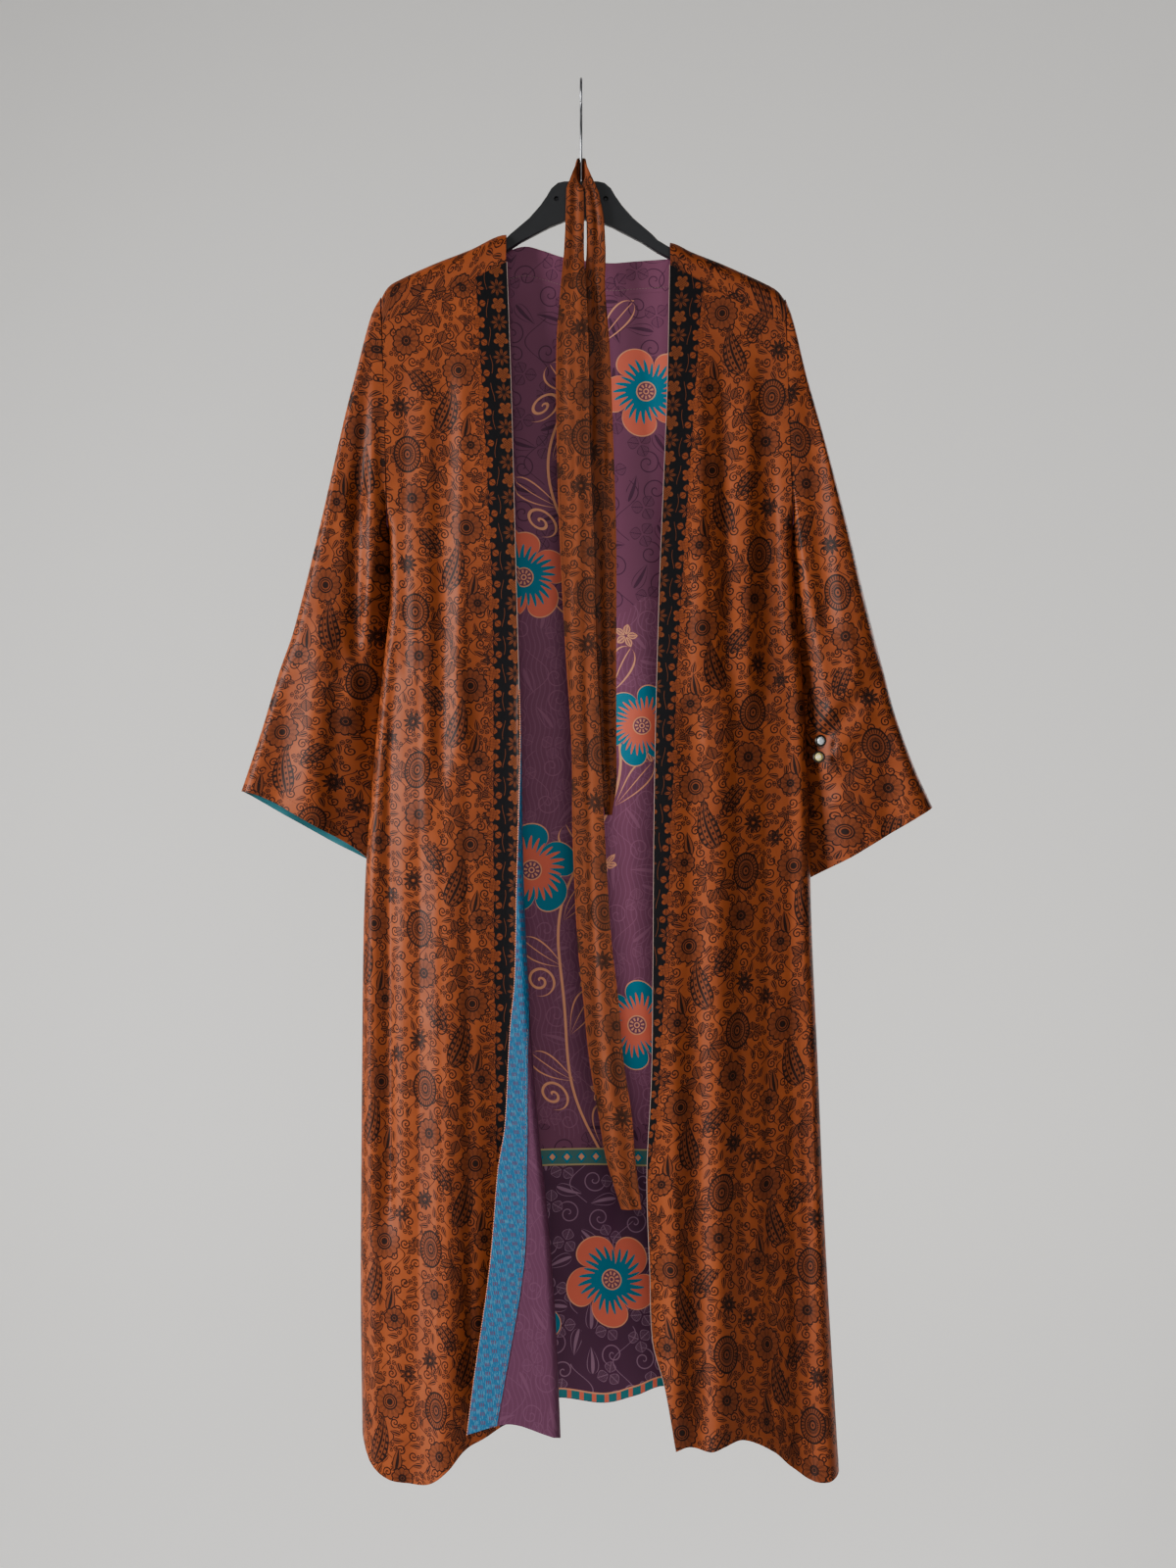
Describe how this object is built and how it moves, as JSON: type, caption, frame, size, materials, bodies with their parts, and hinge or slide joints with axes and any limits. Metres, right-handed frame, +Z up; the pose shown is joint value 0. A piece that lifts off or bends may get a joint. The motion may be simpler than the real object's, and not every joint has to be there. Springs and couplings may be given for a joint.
{
  "type": "silk kimono robe on a hanger",
  "caption": "Long open silk kimono robe with wide straight sleeves, a printed front border, a flowered lining and a loose sash, hanging on a black hanger with a wire hook.",
  "frame": {"origin": "inside of the hook's crown, where it rests on a rail", "axes": "+Z up, +X to the right as seen from the front, +Y to the back of the garment"},
  "size_m": [0.7426, 0.1287, 1.4953],
  "materials": {
    "outer_silk": "rust silk crepe with a dark paisley and flower print, soft sheen",
    "sash_silk": "the same print, gathered",
    "plum_lining": "plum silk printed with large flowers and peach scrolls",
    "blue_facing": "blue silk with a small dash print and a peach stitched edge",
    "cuff_lining": "dark teal silk",
    "hanger_plastic": "black moulded plastic",
    "hook_wire": "thin plated steel wire",
    "stud_stone": "black ring round a clear cut stone"
  },
  "bodies": {
    "root": {"back": "outer_silk", "front_left": "outer_silk", "front_right": "outer_silk", "sleeve_left": "outer_silk", "sleeve_right": "outer_silk", "belt": "sash_silk", "neck_facing": "plum_lining", "back_lining": "plum_lining", "front_left_lining": "plum_lining", "facing_left": "blue_facing", "cuff_lining_left": "cuff_lining", "cuff_lining_right": "cuff_lining", "hanger": "hanger_plastic", "hook": "hook_wire", "stud_upper": "stud_stone", "stud_lower": "stud_stone"}
  },
  "joints": []
}
